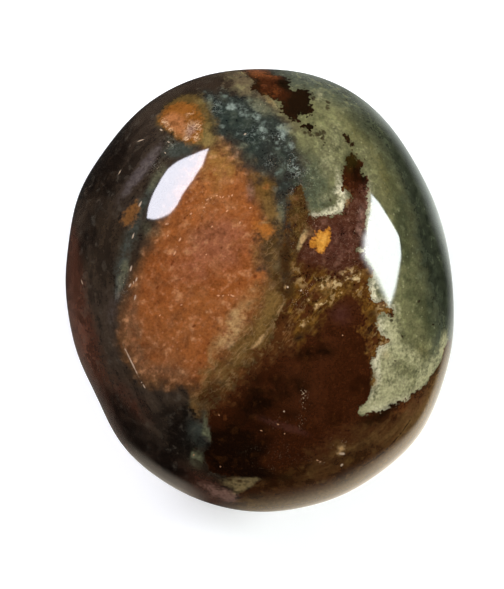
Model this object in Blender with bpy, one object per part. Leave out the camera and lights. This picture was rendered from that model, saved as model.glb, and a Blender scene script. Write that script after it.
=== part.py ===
"""A polished pebble of polychrome jasper, about as long as a palm is wide.

The real thing is one piece of stone, so this is one solid. It lies on its belly with its best
face up: +Z is up, +Y runs along the stone's length, and the origin is on the ground under the
middle of its outline. Sizes are in metres.
"""

import math

import bmesh
import bpy
from mathutils import Vector

MM = 0.001

# The outline seen from above: its radius every 22.5 degrees, anticlockwise from +X.
RIM_RADII_MM = (
    32.3, 32.4, 34.3, 36.7, 37.2, 37.0, 35.5, 33.8,
    32.5, 32.2, 33.8, 35.7, 36.6, 36.4, 35.6, 33.7,
)
RIM_RADII = [radius * MM for radius in RIM_RADII_MM]
HALF_THICKNESS = 20.0 * MM  # from the rim up to the crown, and down to the belly
FULLNESS = 2.3  # 2 gives an ellipsoid; more gives flatter faces and fuller shoulders
LEAN = Vector((-1.2, 0.9)) * MM  # how far the crown sits off centre; the belly sits opposite
FLAT_DEPTH = 0.22 * MM  # how much of the belly is worn away at the flat spot it rests on
FACES_PER_SIDE = 24  # the stone starts as a cube with this many faces along each edge

JASPER_BROWN = (0.105, 0.055, 0.035, 1.0)  # linear colour, the mean of the stone's markings
POLISH_ROUGHNESS = 0.08


def clear_scene():
    for item in list(bpy.data.objects):
        bpy.data.objects.remove(item, do_unlink=True)


def rim_radius(angle):
    """The outline's radius in one direction, on the smooth closed curve through RIM_RADII."""
    count = len(RIM_RADII)
    radius = 0.0
    for step, measured in enumerate(RIM_RADII):
        gap = angle - step * math.tau / count
        at_a_measured_radius = abs(math.sin(gap / 2)) < 1e-9
        share = 1.0 if at_a_measured_radius else math.sin(count * gap / 2) / (count * math.tan(gap / 2))
        radius += measured * share
    return radius


def even_direction(corner):
    """A unit vector for a point of the cube from -1 to 1, spread so that all faces end alike."""
    spread = [math.tan(value * math.pi / 4) for value in corner]
    return Vector(spread).normalized()


def on_stone(direction):
    """The point of the stone's skin for a direction, measured from the middle of the rim."""
    angle = math.atan2(direction.y, direction.x)
    outward = math.hypot(direction.x, direction.y) ** (2 / FULLNESS)
    radius = rim_radius(angle) * outward
    lean = LEAN * direction.z**3
    return Vector(
        (
            radius * math.cos(angle) + lean.x,
            radius * math.sin(angle) + lean.y,
            HALF_THICKNESS * direction.z,
        )
    )


def cut_flat_spot(stone_mesh):
    """Cuts the lowest part of the belly off level, and closes the cut with one flat face."""
    everything = stone_mesh.verts[:] + stone_mesh.edges[:] + stone_mesh.faces[:]
    level = FLAT_DEPTH - HALF_THICKNESS
    cut = bmesh.ops.bisect_plane(
        stone_mesh,
        geom=everything,
        dist=1e-7,
        plane_co=(0, 0, level),
        plane_no=(0, 0, -1),
        clear_outer=True,
    )
    rim_of_cut = [item for item in cut["geom_cut"] if isinstance(item, bmesh.types.BMEdge)]
    bmesh.ops.edgeloop_fill(stone_mesh, edges=rim_of_cut)


def centred_in_plan(stone_mesh):
    """Moves the mesh so that the box around its outline has its middle on the Z axis."""
    xs = [vertex.co.x for vertex in stone_mesh.verts]
    ys = [vertex.co.y for vertex in stone_mesh.verts]
    middle = Vector((min(xs) + max(xs), min(ys) + max(ys), 0)) / 2
    bmesh.ops.translate(stone_mesh, verts=stone_mesh.verts[:], vec=-middle)


def polished_jasper():
    material = bpy.data.materials.new("polished_jasper")
    material.use_nodes = True
    surface = material.node_tree.nodes["Principled BSDF"]
    surface.inputs["Base Color"].default_value = JASPER_BROWN
    surface.inputs["Roughness"].default_value = POLISH_ROUGHNESS
    surface.inputs["Metallic"].default_value = 0.0
    return material


def make_pebble(collection):
    stone_mesh = bmesh.new()
    bmesh.ops.create_cube(stone_mesh, size=2.0)
    bmesh.ops.subdivide_edges(
        stone_mesh,
        edges=stone_mesh.edges[:],
        cuts=FACES_PER_SIDE - 1,
        use_grid_fill=True,
    )
    for vertex in stone_mesh.verts:
        vertex.co = on_stone(even_direction(vertex.co))
    cut_flat_spot(stone_mesh)
    centred_in_plan(stone_mesh)
    bmesh.ops.recalc_face_normals(stone_mesh, faces=stone_mesh.faces[:])

    mesh = bpy.data.meshes.new("pebble")
    stone_mesh.to_mesh(mesh)
    stone_mesh.free()
    mesh.shade_smooth()
    mesh.materials.append(polished_jasper())
    pebble = bpy.data.objects.new("pebble", mesh)
    pebble.location.z = HALF_THICKNESS - FLAT_DEPTH
    collection.objects.link(pebble)
    return pebble


def main():
    clear_scene()
    collection = bpy.data.collections.new("jasper_pebble")
    bpy.context.scene.collection.children.link(collection)
    make_pebble(collection)


main()
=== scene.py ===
import math

import bmesh
import bpy
import numpy as np
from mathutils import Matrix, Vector
from mathutils.bvhtree import BVHTree


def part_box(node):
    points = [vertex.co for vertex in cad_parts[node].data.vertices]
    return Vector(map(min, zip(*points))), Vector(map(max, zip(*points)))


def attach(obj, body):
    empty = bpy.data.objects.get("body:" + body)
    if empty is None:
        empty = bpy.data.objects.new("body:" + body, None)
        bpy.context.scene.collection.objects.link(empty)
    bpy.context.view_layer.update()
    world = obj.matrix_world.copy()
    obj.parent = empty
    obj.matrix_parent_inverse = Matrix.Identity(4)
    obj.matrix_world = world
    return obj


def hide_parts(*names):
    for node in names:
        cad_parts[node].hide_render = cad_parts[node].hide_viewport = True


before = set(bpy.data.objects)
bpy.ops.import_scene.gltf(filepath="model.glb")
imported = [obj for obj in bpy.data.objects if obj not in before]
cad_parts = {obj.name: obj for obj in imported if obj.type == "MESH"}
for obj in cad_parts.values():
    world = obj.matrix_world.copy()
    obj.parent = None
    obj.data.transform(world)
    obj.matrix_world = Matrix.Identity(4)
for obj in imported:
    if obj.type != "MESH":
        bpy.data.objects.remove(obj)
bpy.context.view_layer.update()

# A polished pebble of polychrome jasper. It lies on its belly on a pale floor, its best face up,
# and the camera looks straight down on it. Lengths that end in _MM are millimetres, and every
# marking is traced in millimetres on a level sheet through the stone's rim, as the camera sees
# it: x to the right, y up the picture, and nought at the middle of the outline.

MM = 0.001
CM = 0.01

# The stone's own form, as it was ground
RIM_RADII_MM = (
    32.2, 32.1, 32.5, 33.1, 34.2, 35.7, 36.8, 37.2, 37.2, 37.2, 37.0, 36.3, 35.2, 34.6, 33.7, 32.7,
    32.3, 32.1, 32.1, 32.4, 33.9, 35.0, 35.7, 36.3, 36.6, 36.6, 36.5, 36.2, 35.9, 34.8, 33.7, 32.9,
)
FULLNESS = 2.3  # 2 gives an ellipsoid; more gives flatter faces and fuller shoulders
LEAN_MM = (-1.2, 0.9)  # how far the crown sits off centre; the belly sits opposite
FLAT_DEPTH_MM = 0.22  # how much of the belly is worn away at the flat spot it rests on
FACES_PER_SIDE = 128  # the stone starts as a cube with this many faces along each edge

# Hand polishing leaves long, shallow waves that only the reflections give away
WAVE_SEED = 7
WAVE_COUNT = 7
WAVE_LENGTH_MM = 17.0
WAVE_SPREAD = (0.7, 1.5)  # the shortest and the longest wave, as shares of that length
WAVE_HEIGHT_MM = 0.012

# The camera, straight above, and how the photograph is framed
CAMERA_HEIGHT_MM = 600.0  # above the rim
PIXELS_PER_MM = 6.0
PICTURE_SIZE_PX = (504, 589)
SHEET_MIDDLE_PX = (260, 292)
SENSOR_MM = 36.0

# How the markings are traced
STEPS_PER_CORNER = 3
RIM_MARGIN_MM = 0.05

# The grain of the stone: the size of each field in mm, its detail and its roughness. The real dust
# is finer than the picture can show, so it is drawn coarser
GRAIN = {
    "drift": (13.0, 2.0, 0.5),
    "cloud": (5.5, 3.0, 0.55),
    "patchy": (2.6, 3.0, 0.55),
    "mottle": (1.4, 2.0, 0.5),
    "grit": (0.5, 1.0, 0.5),
    "dust": (0.28, 0.0, 0.5),
    "ragged": (2.4, 4.0, 0.62),
}
# How strongly each size shows in every mineral
GRAIN_DEPTH = {"dust": 0.45, "grit": 0.8, "mottle": 0.4}

THREADS_MM = 0.85  # how far apart the pale threads in the sea green lie
STREAKS_MM = 0.8  # the width of the slanting streaks in the belt and the gilding
STRANDS_MM = 1.1  # how far apart the thin strands among them lie
SLANT_DEG = 50.0  # how streaks and strands lie
SLANT_STRETCH = (0.35, 1, 1)  # how they are drawn out along the slant
RIM_STREAKS = (0.55, 0.09, 0.05)  # how often, to the mm, the slate changes across and along the rim
SPRINKLE_MM = 0.32  # how far apart the finest pale grains lie

# Fields mixed from others: the first one, what is added of the others, and what evens it out
MIXED = {
    "shreds": ("strands", {"grit": -0.35, "mottle": -0.5}, 0.42),
    "torn": ("ragged", {"grit": 0.4, "mottle": 0.3}, -0.85),
    "lobed": ("torn", {"grit": 0.3}, -0.15),
    "blurred": ("ragged", {"mottle": 0.6}, -0.8),
    "under": ("drift", {"torn": 0.4}, 0.0),
}

# Crumbs: one to a cell, some pale and some dark, each kind with its radius in cells and its lot.
# Each is whole as far as a third of its radius and fades from there
CRUMBS_APART_MM = 0.75
CRUMBS = {"pale_crumb": (0.34, 0.15), "dark_crumb": (0.42, 0.8)}
CRUMBS_LOT = 0.12

# Each outline's edge: how far it is broken up and how far it fades to each side, in mm
EDGES_MM = {
    "sea_green": (7.0, 1.8), "mushroom": (5.0, 1.3), "sage": (4.5, 1.8), "sage_shade": (6.0, 3.2),
    "terracotta": (3.6, 1.5), "olive": (5.0, 1.8), "heart": (2.5, 0.2), "island": (2.0, 0.15),
    "summit": (3.0, 0.13), "crust": (1.8, 0.7), "crust_halo": (3.0, 1.0), "lobe": (1.6, 0.6),
    "ember": (3.0, 0.7), "ring": (0.8, 0.5), "yolk": (1.8, 0.16), "ochre_spot": (4.0, 1.0),
    "mulberry": (5.0, 1.3), "rust_seam": (5.0, 1.4), "gilding": (7.0, 1.4), "fringe_gold": (4.0, 0.7),
    "bronze": (7.0, 3.0), "rust_column": (6.0, 1.0),
}
CRISP_MM = 0.9  # an edge that fades in less than this is broken up in finer lobes
MELT_RAGGED_MM = 9.0  # how much more an edge is broken up where it melts into its neighbour
MELT_FADE_MM = 2.4
BELLY_RAGGED_MM = 14.0  # and how much more on the belly
BELLY_MM = (0.5, 6.0)  # how far past the rim the belly's own colours start and are full
LAST_SHOWN_MM = (6.0, 4.0)  # how far past it the marks at the top end, and are still whole
UNEVEN = 2.4  # how strongly the grain breaks up the soft changes of tone
FLECK_REACH_MM = 0.65  # no fleck shows further than this from its middle line
FLECK_ROUGH = 0.9  # how strongly the grain gnaws at the flecks' outlines
FLECK_COVER = 0.75  # and how much of what lies under them they hide

# The polish: a mirror on quartz
POLISH_ROUGHNESS = 0.05
QUARTZ_IOR = 1.54

# Outlines of the minerals on the sheet, each closed. Those that leave the face run on over the
# rim. The soft neighbours come first, then what was laid over them
OUTLINES = {
    "sea_green": (
        (-9.5, 33.5), (-10, 31), (-9, 29), (-8.3, 27), (-7.6, 25), (-5.5, 24.6), (-4.2, 22.8), (-2.6, 20.6),
        (-1.2, 19.3), (1, 19.4), (2.6, 18.8), (2.9, 16.5), (2.2, 14.2), (2.9, 12), (4.1, 11.5), (4.6, 14),
        (5, 16.4), (6.2, 18), (7.2, 19.5), (7.3, 21.5), (6.8, 23.4), (6.2, 24.8), (5.7, 26.4), (5, 28),
        (3.6, 29.7), (2, 31.2), (-1, 32.6), (-3.5, 33), (-6.5, 33.2),
    ),
    "mushroom": (
        (-5.8, 38.5), (-5.3, 35.8), (-4.6, 34.2), (-3.6, 33.2), (-1, 32.8), (1.2, 31.4), (3.2, 29.6),
        (4.6, 28), (6, 27.2), (7.2, 27.4), (5.6, 28.8), (4, 30.4), (2.6, 32.4), (1, 34), (-1, 35), (-2, 37),
        (-3, 40),
    ),
    "sage": (
        (3.2, 44), (2.6, 38), (2.4, 34.5), (1.9, 32.2), (3.2, 30.6), (4.6, 28.6), (6.4, 27), (6.1, 25.6),
        (6.6, 24.2), (7.2, 22.8), (7.6, 21), (7.5, 19.2), (7.2, 17.6), (7.6, 15.6), (8, 13.6), (9, 11),
        (12, 8), (15, 5), (15.5, 0), (15.5, -6), (15, -12), (14, -18), (13.6, -23), (19, -23.4), (24, -21.4),
        (28, -18.6), (31.6, -14.6), (34, -10.6), (38, -8), (43, 0), (45, 14), (42, 26), (34, 36), (24, 43),
        (12, 47),
    ),
    # the dark band down the right side: partly darker green stone, partly painted shade
    "sage_shade": (
        (15.5, 29), (18, 26.4), (20.6, 23), (22.8, 18.8), (24.2, 14.4), (25, 10), (25.8, 6), (27, 2),
        (28.2, -2), (30, -5.2), (34, -6), (39, 3), (39, 14), (34, 24), (27, 32), (20, 36), (17.5, 33),
        (18.5, 30.4),
    ),
    "terracotta": (
        (-8.3, 25), (-6.6, 24.9), (-5.2, 24.3), (-4.2, 22.8), (-2.6, 21), (-1.3, 19.2), (-0.6, 17),
        (0.6, 15), (1.4, 13), (1.6, 11), (0.9, 9), (0.2, 7), (0.5, 5), (1.4, 3.6), (2.6, 1.6), (2.6, -1.2),
        (1.6, -3.8), (0.3, -6.2), (-1.4, -8.6), (-3.4, -11), (-5.2, -13.2), (-7, -15.4), (-8.8, -17),
        (-10.2, -17.8), (-11.3, -16.6), (-13, -15.6), (-15.4, -15.4), (-17.6, -15.3), (-19.6, -15),
        (-21, -13.3), (-22.2, -11.2), (-23.1, -8.6), (-23.4, -5.6), (-22.9, -2.4), (-21.9, 0.4), (-20.9, 3),
        (-19.8, 5.4), (-18.7, 7.6), (-17.6, 9.8), (-16, 12.6), (-14.6, 15.6), (-12.8, 18.6), (-11, 21.4),
        (-9.6, 23.8),
    ),
    "olive": (
        (0.8, 8.6), (2.8, 9), (4.2, 6.5), (4.6, 3.5), (5.4, 1), (5.8, -0.9), (5.2, -3.2), (4.4, -5.6),
        (3.4, -8), (2.8, -10.4), (2, -12.2), (0.2, -14.4), (-2.4, -17), (-4.8, -19.2), (-7.6, -20.8),
        (-9.2, -19.8), (-10.4, -18.2), (-9.6, -16), (-8.4, -13.2), (-6.8, -10.4), (-4.8, -7.4), (-2.8, -4.8),
        (-1, -2), (0.6, 0.8), (1.4, 3), (0.8, 6),
    ),
    "heart": (
        (14, 13.6), (13.9, 14.2), (14, 14.9), (14.4, 15.1), (14.8, 15.3), (15.1, 15.2), (15.2, 15.6),
        (14.9, 16), (14.5, 16.5), (14.1, 16.9), (13.7, 17), (13.7, 17.4), (14, 18), (13.6, 18.4),
        (13.6, 18.9), (13.3, 19.3), (13.6, 19.7), (13.4, 20.2), (13.8, 20.5), (13.7, 21), (14.3, 21.1),
        (14.6, 21.6), (14.4, 22.3), (14.9, 22.8), (15.1, 23.5), (15.4, 23.7), (15.8, 23), (15.9, 22.2),
        (16.4, 22.1), (16.9, 21.8), (17.2, 21.3), (16.6, 21), (16.7, 20.5), (17.1, 20), (17.4, 19.4),
        (17.9, 18.9), (17.9, 18), (17.9, 17), (17.7, 15.8), (17.7, 13), (17.8, 10.5), (17.9, 8.6),
        (17.8, 7.2), (17.4, 6.6), (16.6, 6.9), (17.2, 6.2), (17.4, 5.4), (18.3, 4.2), (18.8, 3.4),
        (18.5, 2.4), (18.2, 1), (18.3, -0.2), (18.8, -1.2), (19.6, -1.6), (20.5, -1.5), (21.5, -2.4),
        (22.2, -2.9), (22.4, -3.9), (21.6, -4.2), (20.9, -3.6), (20, -4), (19.6, -5), (19.6, -6),
        (20.3, -6.8), (20.9, -7.4), (21.6, -8.2), (20.8, -8.9), (19.9, -8.9), (19.7, -9.6), (19.4, -10.4),
        (18.9, -10.9), (18.5, -11.5), (18.5, -12.3), (18.9, -13.1), (19.3, -13.9), (19, -14.7),
        (18.9, -15.8), (18.6, -16.8), (18, -17.8), (17.3, -18.8), (16.6, -19.8), (16.8, -20.3),
        (17.6, -20.1), (19, -19.9), (20.2, -20), (21, -19.8), (21.4, -19.2), (21.9, -18.6), (22.2, -18.8),
        (22.9, -18.3), (23.8, -18.1), (24.6, -17.7), (25, -17), (25.5, -16.5), (26.3, -16.4), (26.9, -15.8),
        (27.8, -14.8), (28.7, -13.7), (29.4, -12.6), (30, -11.8), (30.5, -10.6), (30.7, -9.4), (31.2, -8.2),
        (33, -6.6), (38, -5), (42, -14), (40, -26), (32, -36), (20, -43), (8, -46), (-4, -45), (-8.4, -40),
        (-6.5, -36.6), (-4.8, -35), (-4, -34.3), (-3.7, -33.7), (-3.3, -33.1), (-2.6, -32.8), (-1.6, -32.4),
        (-0.8, -31.8), (-0.2, -31.1), (-1.2, -30.9), (-2.4, -30.8), (-3.2, -30.7), (-4.2, -30.9), (-5, -31),
        (-5.9, -30.9), (-6.6, -30.4), (-7.4, -30.1), (-8.2, -29.8), (-8.8, -29.3), (-9.1, -28.6),
        (-9.3, -27.8), (-9.3, -27), (-8.9, -26.5), (-8.5, -25.8), (-8, -25.2), (-7.7, -24.6), (-7.7, -23.7),
        (-8.1, -23.2), (-8.6, -22.8), (-8.7, -21.8), (-8.7, -20.6), (-8.9, -19.2), (-7.6, -17.6),
        (-5.6, -15.4), (-3.6, -13.2), (-1.4, -10.8), (0.6, -8.9), (1.8, -7), (2.9, -4.6), (3.9, -2.5),
        (4.6, -1), (4.6, 1.5), (4.2, 4), (4.1, 7), (4.4, 9.6), (4.4, 12), (4.9, 14.6), (5.4, 16.4),
        (6.2, 17.6), (7, 17.4), (7.4, 16.2), (7.8, 14.8), (8.2, 13.2), (8.8, 12.3), (10, 12.5), (11.4, 12.7),
        (12.7, 13), (13.6, 13.1),
    ),
    "island": (
        (14, 26.4), (14.5, 26.2), (14.8, 25.6), (15.1, 25.1), (15.6, 24.9), (15.9, 24.6), (15.5, 24.1),
        (15, 24.3), (14.7, 24.9), (14.2, 25.3),
    ),
    "summit": (
        (-5, 38.6), (-3, 37.2), (-2.2, 36.3), (-1.6, 35.7), (-1.1, 35.3), (-0.8, 34.8), (-1.3, 34.2),
        (-1.2, 33.7), (-0.6, 33.6), (0, 33.3), (0.3, 32.9), (0.9, 32.8), (1.6, 32.5), (2.2, 32.1),
        (2.9, 31.8), (3.2, 31.3), (3.4, 30.8), (3.6, 30.2), (4, 29.7), (4.5, 29.2), (4.9, 28.6), (5.2, 28.3),
        (5.9, 28.3), (6.5, 28.1), (7, 27.7), (7.6, 27.1), (8.3, 26.9), (9, 26.8), (8.9, 27.5), (8.4, 28.1),
        (7.8, 28), (7.2, 28.2), (6.8, 28.7), (6.6, 29.2), (7, 29.6), (7.8, 29.5), (8.4, 29.7), (8.8, 30),
        (8.8, 30.8), (8.4, 31.3), (8.4, 32), (8.2, 32.6), (8.5, 33), (8.2, 33.5), (7.6, 33.8), (7, 33.9),
        (6.4, 33.7), (5.8, 33.5), (5.3, 33.6), (5, 34), (4.9, 34.4), (4.4, 34.4), (4.9, 34.8), (4.9, 35.3),
        (4.6, 35.7), (4, 35.9), (3.2, 36.1), (2.4, 36.2), (1.6, 36.6), (1.6, 38), (0.6, 40.5), (-3, 41),
    ),
    "crust": (
        (-16.6, 29.2), (-16.2, 30.2), (-15.3, 30.9), (-14, 31.4), (-12.8, 31.5), (-11.4, 31.4),
        (-10.4, 30.6), (-9.9, 29.4), (-9.7, 28), (-9.6, 26.8), (-9.9, 25.6), (-11, 25), (-12.6, 25),
        (-13.8, 25.8), (-14.9, 26.7), (-16, 27.6), (-16.5, 28.4),
    ),
    "crust_halo": (
        (-16.4, 29.8), (-15.4, 31.4), (-13.6, 32.4), (-11, 33), (-9.2, 31.8), (-8.2, 29.8), (-7.9, 27.2),
        (-7.4, 25), (-7.6, 23.8), (-9, 24.4), (-11.4, 24.8), (-13.4, 25.6), (-15.4, 27), (-16.6, 28.4),
    ),
    "lobe": (
        (-15.9, 28.6), (-15.2, 29.6), (-14, 29.6), (-12.9, 28.9), (-12.5, 27.8), (-12.6, 26.6),
        (-13.4, 26.4), (-14.4, 27),
    ),
    "ember": (
        (-20.7, 14.4), (-20.4, 13.6), (-20.6, 12.6), (-21.4, 11.5), (-22.4, 11), (-23, 11.6), (-22.8, 12.6),
        (-22, 13.6), (-21.3, 14.3),
    ),
    "ring": ((-0.6, 10.2), (0, 11.4), (1.4, 11.6), (2.1, 10.9), (2, 9.8), (1.2, 9.3), (0, 9.3)),
    "yolk": (
        (8.1, 8.1), (8.5, 8.7), (9.2, 9), (9.5, 9.6), (9.5, 10.1), (10.1, 10.1), (10.7, 10), (11, 10.6),
        (11.6, 10.6), (11.9, 9.8), (11.7, 9), (11.6, 8.2), (11, 7.4), (10.6, 6.8), (9.9, 6.6), (9.4, 7),
        (8.8, 7.4), (8.2, 7.6),
    ),
    "ochre_spot": (
        (-0.6, 18.6), (0.4, 19.3), (1.6, 18.9), (2, 17.8), (1.7, 16.5), (1, 15.5), (0.2, 16), (-0.4, 17.2),
    ),
    "mulberry": (
        (8.4, 12.4), (11, 12.7), (13.5, 13), (15, 15), (16.4, 17.4), (18.2, 17.4), (18.2, 12), (17.8, 8),
        (16.4, 5.6), (15.4, 4), (14, 2.6), (12, 2.8), (9.5, 4.2), (6.8, 4.6), (5.4, 4), (5.2, 6), (5.6, 8),
        (6.4, 9.4), (7.6, 10.8),
    ),
    "rust_seam": (
        (4.6, -1.4), (5.6, -3), (6.2, -5), (6.4, -7.6), (4.6, -9.4), (1.8, -11), (-1.6, -13), (-4.6, -16),
        (-6.4, -17.8), (-6.2, -15.8), (-3.4, -12.8), (-1.2, -10.4), (0.6, -8.9), (1.8, -7), (2.9, -4.6),
        (3.9, -2.5),
    ),
    "gilding": (
        (5, 3.6), (7.6, 4), (10.6, 3.2), (13.4, 2), (14.8, 2), (16.4, 3.2), (18.6, 3.4), (18.9, 1.4),
        (18.6, -0.6), (17, -0.8), (15.4, 0.2), (13.2, -0.8), (11.4, -2.4), (10, -4.4), (8.6, -6.6), (7, -8),
        (5.6, -6.4), (5.4, -3.4), (4.8, -0.8),
    ),
    "fringe_gold": (
        (17.6, -0.8), (18.6, -1.4), (20.6, -1.2), (22, -2.6), (21.6, -3.8), (20, -4.2), (19.9, -6),
        (21.8, -7.9), (21.4, -9), (19.9, -9.6), (18.9, -11.4), (18.2, -10.6), (17.8, -8.4), (17, -6.4),
        (17.6, -4.4), (17.2, -2.6),
    ),
    "bronze": (
        (34, -10), (31.5, -8.5), (29.6, -13), (27, -16.2), (24.4, -18.2), (21.4, -20.4), (19.6, -22.4),
        (16.6, -22.6), (14.4, -24.6), (11.4, -26.2), (8.4, -28.2), (6.4, -30.6), (2, -32), (-2, -33.2),
        (-3.6, -35), (-3, -42), (10, -44), (26, -38), (36, -24),
    ),
    "rust_column": (
        (5, 12.6), (5, 15), (5.8, 17), (6.8, 17.6), (7.4, 16.4), (7.8, 14.6), (8.4, 12.8), (8.2, 11.4),
        (7.4, 9.4), (6.4, 7), (5.8, 3), (4.6, 2), (4.4, 6), (4.8, 9.4),
    ),
}

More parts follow.
